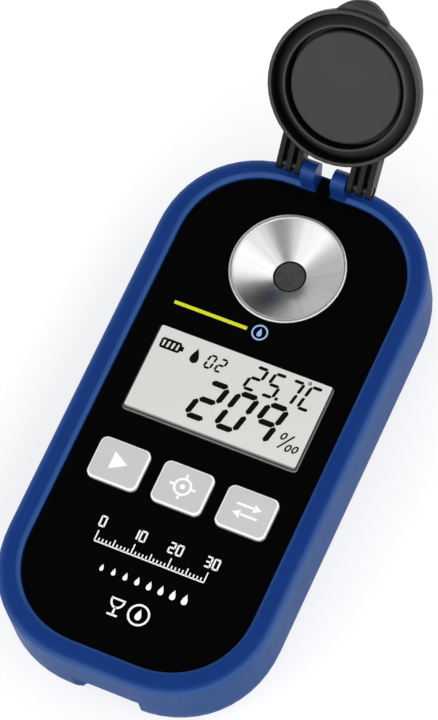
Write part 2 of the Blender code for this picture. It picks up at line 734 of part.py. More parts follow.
def make_battery():
    half = CELL_LENGTH / 2
    cell = turned(
        "battery_cell",
        [(0.0, half), (1.9, half), (1.9, half - 1.2), (CELL_RADIUS - 0.4, half - 1.2),
         (CELL_RADIUS, half - 1.6), (CELL_RADIUS, 0.4 - half), (CELL_RADIUS - 0.4, -half),
         (0.0, -half)],
        steps=24,
    )
    cell.location = (0.0, CELL_Y * MM, CELL_Z * MM)
    cell.rotation_euler = (0.0, math.radians(90), 0.0)
    finish(cell, GREY_PLASTIC)

    wall, sheet = POCKET_HALF[0] - CLEARANCE, 0.4
    spring = [(-wall, 4.2), (sheet - wall, 4.2), (sheet - wall, 5.5), (-half - 0.8, 7.6),
              (-half - 0.4, 8.4), (-half - 0.8, 9.2), (sheet - wall, 11.3),
              (sheet - wall, 12.6), (-wall, 12.6), (-wall, 11.1), (-half - 1.2, 9.0),
              (-half - 0.85, 8.4), (-half - 1.2, 7.8), (-wall, 5.7)]
    finish(extruded("battery_spring_contact", spring, CELL_Y - 3.0, CELL_Y + 3.0, axis="Y"),
           STEEL)
    plate = [(wall, 4.2), (wall, 12.6), (wall - sheet, 12.6), (wall - sheet, 10.2),
             (half + 0.4, 9.4), (half + 0.4, 7.4), (wall - sheet, 6.6), (wall - sheet, 4.2)]
    finish(extruded("battery_plate_contact", plate, CELL_Y - 3.0, CELL_Y + 3.0, axis="Y"),
           STEEL)


def make_battery_cover():
    middle_y = sum(COVER_Y) / 2
    half_y = (COVER_Y[1] - COVER_Y[0]) / 2
    low, high = COVER_Z
    edge = 0.3
    levels = [(COVER_HALF_X - edge, half_y - edge, COVER_CORNER - edge, low),
              (COVER_HALF_X, half_y, COVER_CORNER, low + edge),
              (COVER_HALF_X, half_y, COVER_CORNER, high)]
    cover = lofted("battery_cover", levels, centre=(0.0, middle_y))
    join(cover, cylinder("cover boss", 2.9, (0.0, COVER_SCREW_Y, 1.0),
                         (0.0, COVER_SCREW_Y, LEDGE - CLEARANCE), collection=CUTTERS))
    cut(
        cover,
        cylinder("cover counterbore", 2.4, (0.0, COVER_SCREW_Y, -1.0),
                 (0.0, COVER_SCREW_Y, 1.7), collection=CUTTERS),
        cylinder("cover screw hole", 1.4, (0.0, COVER_SCREW_Y, -1.0),
                 (0.0, COVER_SCREW_Y, 4.0), sides=16, collection=CUTTERS),
    )
    finish(cover, BLUE)
    low = COVER_Z[1] + CLEARANCE
    high = LEDGE - CLEARANCE
    outer = (COVER_HALF_X - 0.1, half_y - 0.1, COVER_CORNER - 0.1)
    inner = (COVER_HALF_X - 0.9, half_y - 0.9, COVER_CORNER - 0.9)
    seal = [(*outer, low), (*outer, high), (*inner, high), (*inner, low)]
    finish(lofted("battery_cover_seal", seal, centre=(0.0, middle_y), ring=True), RUBBER)
    screw("battery_cover_screw", (0.0, COVER_SCREW_Y), (2.1, 0.5, 1.4), (1.0, 7.4), 1.1)
    insert = [(2.0, 7.6), (2.0, 3.1), (1.3, 3.1), (1.3, 7.6)]
    finish(turned("threaded_insert", insert, centre=(0.0, COVER_SCREW_Y), closed=True), BRASS)


def make_housing_screws():
    for index, place in enumerate(HOUSING_SCREWS):
        screw(f"housing_screw_{index + 1}", place, (2.3, 0.8, 2.3), (1.1, 11.6), 1.3)


# ---- hinged lid -------------------------------------------------------------


def lid_rib_outline(x):
    """A lid rib seen along X from the hinge axis: a round eye and a bar over the cap."""
    eye = arc((0.0, 0.0), EYE_RADIUS, 90.0, -90.0, 12)
    edge = math.sqrt((LID_RADIUS - 0.5) ** 2 - x ** 2) - LID_REACH
    shoulder = edge - 2.6
    bar = [(edge, -HINGE_BARREL + 0.35), (edge, -0.6), (shoulder, 1.5),
           (shoulder, HINGE_BARREL)]
    return [*eye, *bar]


def thumb_tab_outline():
    """The thumb tab seen along X: a tongue whose tip curls away from the face."""
    root = -LID_REACH - LID_RADIUS
    return [(root + 3.0, -2.7), (root - 0.7, -2.7), (root - 1.7, -2.3), (root - 2.5, -1.5),
            (root - 2.8, -0.5), (root - 2.1, -0.5), (root - 1.6, -1.1), (root - 0.7, -1.5),
            (root + 3.0, -1.5)]


def make_lid(pivot):
    """The cap, its ribbed arms and its tab, drawn closed about the hinge axis."""
    shell = turned(
        "lid_shell",
        [
            (0.0, LID_TOP),
            (11.0, LID_TOP - 0.1),
            (13.6, LID_TOP - 0.6),
            (15.1, LID_TOP - 1.6),
            (15.9, LID_TOP - 3.0),
            (LID_RADIUS, LID_TOP - 4.6),
            (LID_RADIUS, LID_RIM + 0.2),
            (LID_RADIUS - 0.2, LID_RIM),
            (15.5, LID_RIM),
            (15.35, LID_RIM + 0.2),
            (15.2, -0.9),
            (14.9, -0.7),
            (13.3, LID_RIM + 0.75),
            (13.1, LID_RIM + 0.55),
            (POCKET_RADIUS + 0.15, LID_RIM + 0.55),
            (POCKET_RADIUS, LID_RIM + 0.7),
            (POCKET_RADIUS, LID_FLOOR),
            (0.0, LID_FLOOR),
        ],
        centre=(0.0, -LID_REACH),
        steps=ROUND_STEPS,
    )
    pieces = [shell]
    for side in (-1, 1):
        for rib in range(3):
            start = ARM_X[0] + rib * 2 * RIB_WIDTH
            low, high = sorted((side * start, side * (start + RIB_WIDTH)))
            pieces.append(extruded(f"lid rib {side} {rib}", lid_rib_outline(start + RIB_WIDTH),
                                   low, high, axis="X", collection=CUTTERS))
        low, high = sorted((side * (ARM_X[0] + 0.05), side * (ARM_X[1] - 0.05)))
        pieces.append(box(f"arm plate {side}", (low, -10.0, EYE_RADIUS - 1.0),
                          (high, -0.2, EYE_RADIUS - 0.05), collection=CUTTERS))
    tab = extruded("thumb tab", thumb_tab_outline(), -TAB_HALF, TAB_HALF, axis="X",
                   collection=CUTTERS)
    tab_middle = -LID_REACH - LID_RADIUS - TAB_REACH + TAB_HALF
    tab_plan = cylinder("thumb tab plan", TAB_HALF, (0.0, tab_middle, -6.0),
                        (0.0, tab_middle, 4.0), sides=36, collection=CUTTERS)
    boolean(tab, tab_plan, "INTERSECT")
    tab_root = cylinder("thumb tab root", LID_RADIUS - 0.45, (0.0, -LID_REACH, -6.0),
                        (0.0, -LID_REACH, 4.0), sides=48, collection=CUTTERS)
    cut(tab, tab_root)
    pieces.append(tab)
    bore = cylinder("lid pin bore", PIN_RADIUS + CLEARANCE, (-12.0, 0.0, 0.0),
                    (12.0, 0.0, 0.0), collection=CUTTERS)
    join(shell, *pieces[1:])
    cut(shell, bore)
    pad = turned(
        "lid_pad",
        [(0.0, LID_FLOOR - CLEARANCE), (PAD_RADIUS, LID_FLOOR - CLEARANCE),
         (PAD_RADIUS, PAD_FACE + 0.3), (PAD_RADIUS - 0.3, PAD_FACE), (0.0, PAD_FACE)],
        centre=(0.0, -LID_REACH),
        steps=ROUND_STEPS,
    )
    for obj in [*pieces, tab_plan, tab_root, bore, pad]:
        obj.parent = pivot
    finish(shell, GREY_PLASTIC)
    finish(pad, GREY_PLASTIC)


def make_hinge():
    pivot = bpy.data.objects.new("lid_hinge", None)
    PARTS.objects.link(pivot)
    pivot.location = (0.0, HINGE_Y * MM, HINGE_Z * MM)
    pivot.rotation_euler = (math.radians(-LID_OPEN_DEGREES), 0.0, 0.0)
    make_lid(pivot)
    for name, side in (("hinge_pin_left", -1), ("hinge_pin_right", 1)):
        inner, outer = (side * x for x in PIN_X)
        finish(cylinder(name, PIN_RADIUS, (inner, HINGE_Y, HINGE_Z),
                        (outer, HINGE_Y, HINGE_Z)), BLACK)


make_rear_shell()
make_front_shell()
make_housing_gasket()
make_front_label()
make_display()
make_keys()
make_electronics()
make_well()
make_optics()
make_battery()
make_battery_cover()
make_housing_screws()
make_hinge()
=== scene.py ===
"""Looks of the digital refractometer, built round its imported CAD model.

Plan dimensions are in millimetres from the middle of the back, +X right, +Y toward the
lid, as in the CAD. The helpers turn them into metres.
"""

import json
import math

import bmesh
import bpy
from mathutils import Matrix, Vector


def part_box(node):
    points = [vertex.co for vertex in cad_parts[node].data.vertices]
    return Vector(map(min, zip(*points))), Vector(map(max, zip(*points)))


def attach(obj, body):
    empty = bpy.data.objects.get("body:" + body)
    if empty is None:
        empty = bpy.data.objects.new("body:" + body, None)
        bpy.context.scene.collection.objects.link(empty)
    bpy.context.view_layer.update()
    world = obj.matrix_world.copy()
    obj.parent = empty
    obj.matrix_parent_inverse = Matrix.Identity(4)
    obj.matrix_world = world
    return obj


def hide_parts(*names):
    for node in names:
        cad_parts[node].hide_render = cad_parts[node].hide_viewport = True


MM = 0.001
LABEL_THICKNESS = 0.5
RIM_HEIGHT = 1.2
PRINT_LIFT = 0.004

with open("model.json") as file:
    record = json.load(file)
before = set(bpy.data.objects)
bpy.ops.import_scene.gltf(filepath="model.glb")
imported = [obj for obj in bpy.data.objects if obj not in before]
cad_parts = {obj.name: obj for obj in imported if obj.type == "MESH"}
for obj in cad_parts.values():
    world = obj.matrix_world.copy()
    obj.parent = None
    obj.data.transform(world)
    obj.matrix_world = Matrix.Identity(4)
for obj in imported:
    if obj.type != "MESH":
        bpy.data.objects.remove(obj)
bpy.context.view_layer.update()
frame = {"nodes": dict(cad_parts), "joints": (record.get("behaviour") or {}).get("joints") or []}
nodes = frame["nodes"]


def box_mm(node):
    """The lowest and highest corner of a CAD node, in millimetres."""
    low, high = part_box(node)
    return low / MM, high / MM


label_low, _ = box_mm("front_label")
window_low, window_high = box_mm("display_window")
well_low, well_high = box_mm("sample_well")
LABEL_TOP = label_low.z + LABEL_THICKNESS
WINDOW_TOP = window_high.z
RIM_TOP = LABEL_TOP + RIM_HEIGHT
WELL_CENTRE = (well_low + well_high) / 2


# ---- mesh helpers -----------------------------------------------------------


def mesh_object(name, bm, looks, body, smooth_angle=32):
    """A piece in metres from a mesh in millimetres, which rides on a CAD body."""
    bmesh.ops.scale(bm, vec=(MM, MM, MM), verts=bm.verts)
    mesh = bpy.data.meshes.new(name)
    bm.to_mesh(mesh)
    bm.free()
    obj = bpy.data.objects.new(name, mesh)
    bpy.context.scene.collection.objects.link(obj)
    for look in looks:
        mesh.materials.append(look)
    mesh.shade_smooth()
    mesh.set_sharp_from_angle(angle=math.radians(smooth_angle))
    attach(obj, body)
    return obj


def add_prism(bm, outline, low, high):
    """A closed prism over a flat outline, anticlockwise seen from +Z."""
    lower = [bm.verts.new((x, y, low)) for x, y in outline]
    upper = [bm.verts.new((x, y, high)) for x, y in outline]
    bm.faces.new(list(reversed(lower)))
    bm.faces.new(upper)
    count = len(outline)
    for here in range(count):
        there = (here + 1) % count
        bm.faces.new((lower[here], lower[there], upper[there], upper[here]))


def print_marks(name, outlines, low, high, look, body):
    """Printed marks: each outline is a thin closed prism."""
    bm = bmesh.new()
    for outline in outlines:
        add_prism(bm, outline, low, high)
    bmesh.ops.recalc_face_normals(bm, faces=bm.faces)
    return mesh_object(name, bm, [look], body)


def rounded_rect(half_x, half_y, corner, steps=8):
    """Outline of a rectangle with round corners, about the origin."""
    points = []
    for quarter in range(4):
        for step in range(steps + 1):
            angle = math.radians(90.0 * (quarter + step / steps))
            side = 1 if quarter in (0, 3) else -1
            top = 1 if quarter in (0, 1) else -1
            points.append((
                side * (half_x - corner + corner * abs(math.cos(angle))),
                top * (half_y - corner + corner * abs(math.sin(angle))),
            ))
    return points


def loft(bm, rings, ring_materials=None):
    """Faces through rings of points from bottom to top, with both ends closed."""
    made = [[bm.verts.new(point) for point in ring] for ring in rings]
    bm.faces.new(list(reversed(made[0])))
    bm.faces.new(made[-1])
    for level, (lower, upper) in enumerate(zip(made, made[1:])):
        count = len(lower)
        for here in range(count):
            there = (here + 1) % count
            face = bm.faces.new((lower[here], lower[there], upper[there], upper[here]))
            if ring_materials:
                face.material_index = ring_materials[level]
    bmesh.ops.remove_doubles(bm, verts=bm.verts, dist=1e-4)


def turned_mesh(profile, centre, steps=128, materials=None):
    """A closed ring profile of (radius, z) turned about an upright axis at centre."""
    bm = bmesh.new()
    columns = []
    for step in range(steps):
        angle = 2 * math.pi * step / steps
        columns.append([
            bm.verts.new((
                centre[0] + radius * math.cos(angle),
                centre[1] + radius * math.sin(angle),
                z,
            ))
            for radius, z in profile
        ])
    count = len(profile)
    for here in range(steps):
        there = (here + 1) % steps
        for row in range(count):
            below = (row + 1) % count
            face = bm.faces.new((
                columns[here][row], columns[here][below],
                columns[there][below], columns[there][row],
            ))
            if materials:
                face.material_index = materials[row]
    bmesh.ops.remove_doubles(bm, verts=bm.verts, dist=1e-4)
    bmesh.ops.recalc_face_normals(bm, faces=bm.faces)
    return bm


# ---- flat outlines for printed marks ----------------------------------------

TIP_SHARE = 0.42
SEGMENT_GAP = 0.16


def bar(start, end, width):
    """A straight stroke with square ends."""
    start, end = Vector(start), Vector(end)
    along = (end - start).normalized()
    side = Vector((-along.y, along.x)) * width / 2
    return [tuple(start - side), tuple(end - side), tuple(end + side), tuple(start + side)]


def segment(start, end, width):
    """One display segment: a stroke whose ends taper to a point."""
    start, end = Vector(start), Vector(end)
    along = (end - start).normalized()
    side = Vector((-along.y, along.x)) * width / 2
    tip = along * width * TIP_SHARE
    points = [start, start + tip - side, end - tip - side, end, end - tip + side,
              start + tip + side]
    return [tuple(point) for point in points]


def ring_strokes(centre, radius_x, radius_y, width, slant=0.0, count=20, start=0.0, sweep=360.0):
    """A ring or an arc, as short strokes that meet."""
    strokes = []
    for step in range(count):
        corners = []
        for at, grow in ((step, -1), (step + 1, -1), (step + 1, 1), (step, 1)):
            angle = math.radians(start + sweep * at / count)
            x = (radius_x + grow * width / 2) * math.cos(angle)
            y = (radius_y + grow * width / 2) * math.sin(angle)
            corners.append((centre[0] + x + slant * y, centre[1] + y))
        strokes.append(corners)
    return strokes


def disc(centre, radius, count=24):
    return [
        (
            centre[0] + radius * math.cos(2 * math.pi * step / count),
            centre[1] + radius * math.sin(2 * math.pi * step / count),
        )
        for step in range(count)
    ]


def drop(centre, height, count=20):
    """A drop of liquid: a round bottom that narrows to a point at the top."""
    breadth, taper = 0.78, 1.6
    points = []
    for step in range(count):
        angle = 2 * math.pi * step / count
        reach = 0.5 * math.sin(angle) * math.sin(angle / 2) ** taper
        points.append((
            centre[0] - height * breadth * reach,
            centre[1] + height * 0.5 * math.cos(angle),
        ))
    return points


SEGMENTS = {
    "0": "abcdef", "1": "bc", "2": "abged", "3": "abcdg", "5": "afgcd", "7": "abc",
    "9": "abcfg", "C": "adef",
}


def segment_ends(width, height):
    """Centre lines of the seven segments, from the lower left corner."""
    half = height / 2
    return {
        "a": ((0, height), (width, height)),
        "b": ((width, height), (width, half)),
        "c": ((width, half), (width, 0)),
        "d": ((0, 0), (width, 0)),
        "e": ((0, half), (0, 0)),
        "f": ((0, height), (0, half)),
        "g": ((0, half), (width, half)),
    }


def digit(character, corner, width, height, stroke, slant):
    """Seven-segment character. corner is the lower left end of its centre lines."""
    gap = stroke * SEGMENT_GAP
    ends = segment_ends(width, height)
    shapes = []
    for letter in SEGMENTS[character]:
        start, end = (Vector(point) for point in ends[letter])
        along = (end - start).normalized() * gap
        shape = segment(start + along, end - along, stroke)
        shapes.append([(corner[0] + x + slant * y, corner[1] + y) for x, y in shape])
    return shapes


# ---- material helpers -------------------------------------------------------


class Look:
    """A Principled material whose details come from nodes."""

    def __init__(self, name, roughness=0.5, metallic=0.0):
        self.material = bpy.data.materials.new(name)
        self.material.use_nodes = True
        self.nodes = self.material.node_tree.nodes
        self.links = self.material.node_tree.links
        self.shader = self.nodes["Principled BSDF"]
        self.set("Roughness", roughness)
        self.set("Metallic", metallic)
        self.place = self.nodes.new("ShaderNodeTexCoord").outputs["Object"]

    def axes(self, vector):
        """The X, Y and Z of a vector."""
        split = self.nodes.new("ShaderNodeSeparateXYZ")
        self.links.new(vector, split.inputs["Vector"])
        return split.outputs["X"], split.outputs["Y"], split.outputs["Z"]

    def set(self, socket, value):
        self.shader.inputs[socket].default_value = value
        return self

    def noise(self, size, detail=2.0, stretch=None):
        """Noise whose patches are about size millimetres."""
        place = self.place
        if stretch:
            mapping = self.nodes.new("ShaderNodeMapping")
            mapping.inputs["Scale"].default_value = stretch
            self.links.new(place, mapping.inputs["Vector"])
            place = mapping.outputs["Vector"]
        noise = self.nodes.new("ShaderNodeTexNoise")
        noise.inputs["Scale"].default_value = 1.0 / (size * MM)
        noise.inputs["Detail"].default_value = detail
        self.links.new(place, noise.inputs["Vector"])
        return noise.outputs["Fac"]

    def range(self, value, low, high, from_low=0.3, from_high=0.7):
        """The span from_low to from_high spread over low to high."""
        scaled = self.nodes.new("ShaderNodeMapRange")
        scaled.inputs["From Min"].default_value = from_low
        scaled.inputs["From Max"].default_value = from_high
        scaled.inputs["To Min"].default_value = low
        scaled.inputs["To Max"].default_value = high
        self.links.new(value, scaled.inputs["Value"])
        return scaled.outputs["Result"]

    def math(self, operation, *values):
        node = self.nodes.new("ShaderNodeMath")
        node.operation = operation
        for socket, value in zip(node.inputs, values):
            if isinstance(value, (int, float)):
                socket.default_value = value
            else:
                self.links.new(value, socket)
        return node.outputs["Value"]

    def mix(self, factor, one, two):
        """Blend of two colours, each a tuple or a socket."""
        node = self.nodes.new("ShaderNodeMix")
        node.data_type = "RGBA"
        self.links.new(factor, node.inputs["Factor"])
        for socket, value in ((node.inputs[6], one), (node.inputs[7], two)):
            if isinstance(value, tuple):
                socket.default_value = (*value, 1.0)
            else:
                self.links.new(value, socket)
        return node.outputs[2]

    def colour(self, value):
        self.links.new(value, self.shader.inputs["Base Color"])
        return self

    def roughness(self, value):
        self.links.new(value, self.shader.inputs["Roughness"])
        return self

    def bump(self, height, depth):
        """Relief of depth millimetres."""
        node = self.nodes.new("ShaderNodeBump")
        node.inputs["Distance"].default_value = depth * MM
        node.inputs["Strength"].default_value = 1.0
        self.links.new(height, node.inputs["Height"])
        if self.shader.inputs["Normal"].is_linked:
            before = self.shader.inputs["Normal"].links[0].from_socket
            self.links.new(before, node.inputs["Normal"])
        self.links.new(node.outputs["Normal"], self.shader.inputs["Normal"])
        return self


def shade(colour, factor):
    return tuple(channel * factor for channel in colour)


def plastic(name, colour, roughness, grain=0.25, depth=0.006, variation=0.08):
    """Moulded plastic: fine spark-eroded grain, slight mottling and uneven gloss."""
    look = Look(name, roughness)
    patches = look.range(look.noise(9.0, 3.0), 0.0, 1.0)
    look.colour(look.mix(patches, shade(colour, 1 - variation), shade(colour, 1 + variation)))
    look.roughness(look.range(look.noise(3.0, 4.0), roughness - 0.03, roughness + 0.03))
    look.bump(look.noise(grain, 2.0), depth)
    return look


def metal(name, colour, roughness, depth=0.003):
    """Bright metal with fine tool marks across Z."""
    streak = (1.0, 1.0, 8.0)
    look = Look(name, roughness, 1.0)
    marks = look.noise(0.3, 3.0, streak)
    look.colour(look.mix(look.range(marks, 0.0, 1.0), shade(colour, 0.92), shade(colour, 1.04)))
    look.roughness(look.range(look.noise(1.2, 3.0), roughness - 0.06, roughness + 0.08))
    look.bump(marks, depth)
    return look


def soften_rim(look):
    """The edges of the rim are painted paler than its flat top: a painted highlight."""
    strongest_highlight, highlight_below, plain_above = 0.75, RIM_TOP - 0.55, RIM_TOP - 0.04
    _, _, height = look.axes(look.place)
    # Paler towards the rim's edges and down its sides: painted highlight.
    painted_highlight = look.range(height, strongest_highlight, 0.0, highlight_below * MM, plain_above * MM)
    base = look.shader.inputs["Base Color"].links[0].from_socket
    look.colour(look.mix(painted_highlight, base, PAINTED_HIGHLIGHT_BLUE))


BLUE = (0.0036, 0.030, 0.175)
# Paler blue painted on the rim's edges and sides as a highlight.
PAINTED_HIGHLIGHT_BLUE = (0.012, 0.068, 0.27)
BLUE_SIDE = (0.0040, 0.045, 0.180)
looks = {
    "blue": plastic("blue moulding", BLUE, 0.36, grain=0.22, depth=0.003, variation=0.03),
    "blue side": plastic("blue wall", BLUE_SIDE, 0.42, grain=0.22, depth=0.003, variation=0.03),
    "black": plastic("black plastic", (0.012, 0.012, 0.013), 0.42),
    "rubber": plastic("black rubber", (0.016, 0.016, 0.017), 0.7, grain=0.4, depth=0.01),
    "lid": plastic("lid elastomer", (0.0120, 0.0123, 0.0120), 0.50, grain=0.30, depth=0.006),
    "pad": plastic("pad elastomer", (0.0170, 0.0174, 0.0171), 0.62, grain=0.45, depth=0.010),
    # Paler grey painted on the lid's flank as the light falling on it.
    "lid flank painted light": plastic("lid flank painted light", (0.034, 0.0343, 0.034), 0.45, grain=0.30, depth=0.006),
    # Near black painted on the lid's inner walls as shade.
    "lid painted shade": plastic("lid painted shade", (0.0025, 0.0025, 0.0025), 0.60, grain=0.30, depth=0.006),
    "lid arm": plastic("lid arm", (0.0060, 0.0060, 0.0060), 0.42, grain=0.30, depth=0.006),
    "screw": metal("plated steel", (0.62, 0.62, 0.63), 0.28),
    "ground steel": metal("ground steel", (0.66, 0.66, 0.665), 0.42, depth=0.0005),
    "brass": metal("brass", (0.68, 0.50, 0.22), 0.30),
    "board": plastic("solder mask", (0.012, 0.12, 0.05), 0.35, grain=1.5, depth=0.01),
    "white": plastic("white plastic", (0.62, 0.62, 0.60), 0.45),
    "film": plastic("polyimide film", (0.42, 0.17, 0.03), 0.3),
    "cell": plastic("cell wrap", (0.10, 0.11, 0.12), 0.3),
}
looks["blue"].set("Specular IOR Level", 0.38)
looks["blue"].set("Specular Tint", (0.62, 0.88, 1.0, 1.0))
# Paints a paler blue highlight on the edges and sides of the rim.
soften_rim(looks["blue"])
looks["blue side"].set("Specular IOR Level", 0.07)
looks["lid arm"].set("Specular IOR Level", 0.18)
looks["lid painted shade"].set("Specular IOR Level", 0.10)


def make_label_look():
    """Black polyester film with a barely visible grain and faint smudges."""
    look = Look("label film", 0.24)
    look.set("Specular IOR Level", 0.09)
    tone = look.range(look.noise(14.0, 4.0), 0.0, 1.0)
    look.colour(look.mix(tone, (0.0006, 0.0006, 0.0007), (0.0009, 0.0009, 0.0010)))
    look.roughness(look.range(look.noise(5.0, 4.0), 0.22, 0.27))
    look.bump(look.noise(0.35, 2.0), 0.001)
    return look


def make_lcd_look():
    """Reflective display glass: pale grey-green, a little darker towards one end."""
    look = Look("display glass", 0.30)
    _, along, _ = look.axes(look.place)
    fall = look.range(along, 0.0, 1.0, window_low.y * MM, window_high.y * MM)
    cloudy = look.math("MULTIPLY_ADD", look.noise(6.0, 3.0), 0.25,
                       look.math("MULTIPLY", fall, 0.8))
    look.colour(look.mix(cloudy, (0.625, 0.635, 0.60), (0.685, 0.695, 0.66)))
    look.bump(look.noise(0.12, 1.0), 0.0015)
    look.set("Coat Weight", 0.6)
    look.set("Coat Roughness", 0.06)
    return look


def make_steel_look():
    """Turned stainless steel: rings from the tool, and broad sectors of uneven brightness, a
    painted reflection.
    """
    ring_pitch = 0.10
    look = Look("turned steel", 0.26, 1.0)
    centre = look.nodes.new("ShaderNodeVectorMath")
    centre.operation = "SUBTRACT"
    centre.inputs[1].default_value = (WELL_CENTRE.x * MM, WELL_CENTRE.y * MM, 0.0)
    look.links.new(look.place, centre.inputs[0])
    x, y, _ = look.axes(centre.outputs["Vector"])
    square = look.math("ADD", look.math("MULTIPLY", x, x), look.math("MULTIPLY", y, y))
    radius = look.math("SQRT", square)
    angle = look.math("ARCTAN2", y, x)
    rings = look.nodes.new("ShaderNodeTexNoise")
    rings.noise_dimensions = "1D"
    rings.inputs["Scale"].default_value = 1 / (ring_pitch * MM)
    rings.inputs["Detail"].default_value = 2.0
    look.links.new(radius, rings.inputs["W"])
    # Tone that changes around the axis: painted reflection sectors.
    painted_reflection_sectors = look.nodes.new("ShaderNodeTexNoise")
    painted_reflection_sectors.inputs["Scale"].default_value = 2.3
    painted_reflection_sectors.inputs["Detail"].default_value = 3.0
    around = look.nodes.new("ShaderNodeCombineXYZ")
    look.links.new(look.math("COSINE", angle), around.inputs["X"])
    look.links.new(look.math("SINE", angle), around.inputs["Y"])
    look.links.new(around.outputs["Vector"], painted_reflection_sectors.inputs["Vector"])
    tone = look.range(painted_reflection_sectors.outputs["Fac"], 0.0, 1.0, 0.35, 0.65)
    look.colour(look.mix(tone, (0.40, 0.40, 0.405), (0.48, 0.48, 0.485)))
    look.roughness(look.range(rings.outputs["Fac"], 0.20, 0.26))
    look.bump(rings.outputs["Fac"], 0.0002)
    look.set("Anisotropic", 0.8)
    tangent = look.nodes.new("ShaderNodeTangent")
    tangent.direction_type = "RADIAL"
    tangent.axis = "Z"
    look.links.new(tangent.outputs["Tangent"], look.shader.inputs["Tangent"])
    return look


def make_prism_look():
    look = Look("prism glass", 0.08)
    tone = look.range(look.noise(1.5, 2.0), 0.0, 1.0)
    look.colour(look.mix(tone, (0.046, 0.047, 0.049), (0.066, 0.067, 0.068)))
    look.bump(look.noise(2.0, 1.0), 0.002)
    return look


def make_ink_look(name, colour, roughness=0.4):
    look = Look(name, roughness)
    tone = look.range(look.noise(0.5, 3.0), 0.0, 1.0)
    look.colour(look.mix(tone, shade(colour, 0.93), colour))
    look.bump(look.noise(0.2, 2.0), 0.002)
    return look


looks["label"] = make_label_look()
looks["lcd"] = make_lcd_look()
looks["steel"] = make_steel_look()
looks["prism"] = make_prism_look()
looks["segment"] = make_ink_look("display segments", (0.004, 0.004, 0.004), 0.3)
looks["segment"].set("Specular IOR Level", 0.12)
looks["white ink"] = make_ink_look("white ink", (0.93, 0.93, 0.93))
looks["key ink"] = make_ink_look("key ink", (0.95, 0.95, 0.95))
looks["yellow ink"] = make_ink_look("yellow ink", (0.66, 0.68, 0.02))
looks["pale blue ink"] = make_ink_look("pale blue ink", (0.30, 0.45, 0.75))
looks["key"] = plastic("key cap", (0.535, 0.53, 0.545), 0.42, grain=0.3, depth=0.004,
                       variation=0.02)
# Near white painted on the key caps' rounded edges as a highlight.
looks["key edge painted highlight"] = plastic("key edge painted highlight", (0.90, 0.90, 0.91), 0.35, grain=0.3, depth=0.003,
                            variation=0.02)
looks["window edge"] = plastic("window edge", (0.30, 0.30, 0.29), 0.16, grain=1.0,
                               depth=0.001)


# ---- CAD nodes that keep their shape ----------------------------------------

NODE_LOOKS = {
    "blue": ["front_shell"],
    "blue side": ["rear_shell", "battery_cover"],
    "black": ["lcd_holder", "microcontroller", "optical_block", "line_sensor", "hinge_pin_left",
              "hinge_pin_right"],
    "rubber": ["housing_gasket", "zebra_strip_upper", "zebra_strip_lower", "prism_seal",
               "well_gasket", "battery_cover_seal"],
    "label": ["front_label"],
    "lcd": ["lcd_glass"],
    "board": ["main_board", "light_board", "sensor_board"],
    "white": ["flex_connector", "light_source"],
    "screw": ["board_screw_1", "board_screw_2", "optics_screw_1", "optics_screw_2",
              "battery_cover_screw", "housing_screw_1", "housing_screw_2",
              "housing_screw_3", "housing_screw_4", "key_read_snap_dome",
              "key_zero_snap_dome", "key_unit_snap_dome", "temperature_probe",
              "battery_spring_contact", "battery_plate_contact"],
    "brass": ["threaded_insert", "well_retaining_ring"],
    "film": ["sensor_flex_cable"],
    "cell": ["battery_cell"],
    "prism": ["prism", "condenser_lens"],
    "lid": ["lid_shell"],
    "pad": ["lid_pad"],
}
CREASE_ANGLE = 30


def dress_cad_nodes():
    for look, names in NODE_LOOKS.items():
        for name in names:
            mesh = nodes[name].data
            mesh.materials.clear()
            mesh.materials.append(looks[look].material)
            mesh.shade_smooth()
            mesh.set_sharp_from_angle(angle=math.radians(CREASE_ANGLE))
    for name in ("rear_shell", "front_shell"):
        even = nodes[name].modifiers.new("even shading", "WEIGHTED_NORMAL")
        even.keep_sharp = True


def paint_lid():
    """The lid's walls that face its axis are painted dark as shade, its flank is painted paler
    as lit, and its arms differ in tone from the rim.

    Faces are sorted in the closed lid's place, by their distance from its axis and by the
    way they face.
    """
    arms_from = 16.6
    shade_from, shade_to = 12.0, 15.6
    flank_from, flank_to = 13.0, 15.3
    inward, outward, upward = -0.3, 0.2, 0.5
    joint = next(joint for joint in frame["joints"] if joint["name"] == "lid_hinge")
    hinge = Vector(joint["pos_m"])
    turn = Matrix.Rotation(math.radians(joint["range_deg"][1]), 3, "X")
    mesh = nodes["lid_shell"].data
    lit_flank_slot, painted_shade_slot, arm_slot = 1, 2, 3
    for look in ("lid flank painted light", "lid painted shade", "lid arm"):
        mesh.materials.append(looks[look].material)
    for face in mesh.polygons:
        place = (turn @ (Vector(face.center) - hinge) + hinge) / MM
        normal = turn @ Vector(face.normal)
        out = Vector((place.x - WELL_CENTRE.x, place.y - WELL_CENTRE.y, 0.0))
        facing = normal.dot(out.normalized())
        radius = out.length
        if radius > arms_from and out.y > 0:
            face.material_index = arm_slot
        elif shade_from < radius < shade_to and facing < inward and normal.z < upward:
            # Walls of the lid's channel that face its axis: painted shade.
            face.material_index = painted_shade_slot
        elif flank_from < radius < flank_to and facing > outward and normal.z < 0:
            # The flank facing outward: painted light.
            face.material_index = lit_flank_slot


# ---- display ----------------------------------------------------------------


def inset_rings(low, high, levels):
    """Rings on a rectangle from corner low to corner high.

    Each level is its inset from the rectangle, its corner radius and its height.
    """
    middle, half = (low + high) / 2, (high - low) / 2
    return [
        [
            (middle.x + x, middle.y + y, z)
            for x, y in rounded_rect(half.x - inset, half.y - inset, corner)
        ]
        for inset, corner, z in levels
    ]


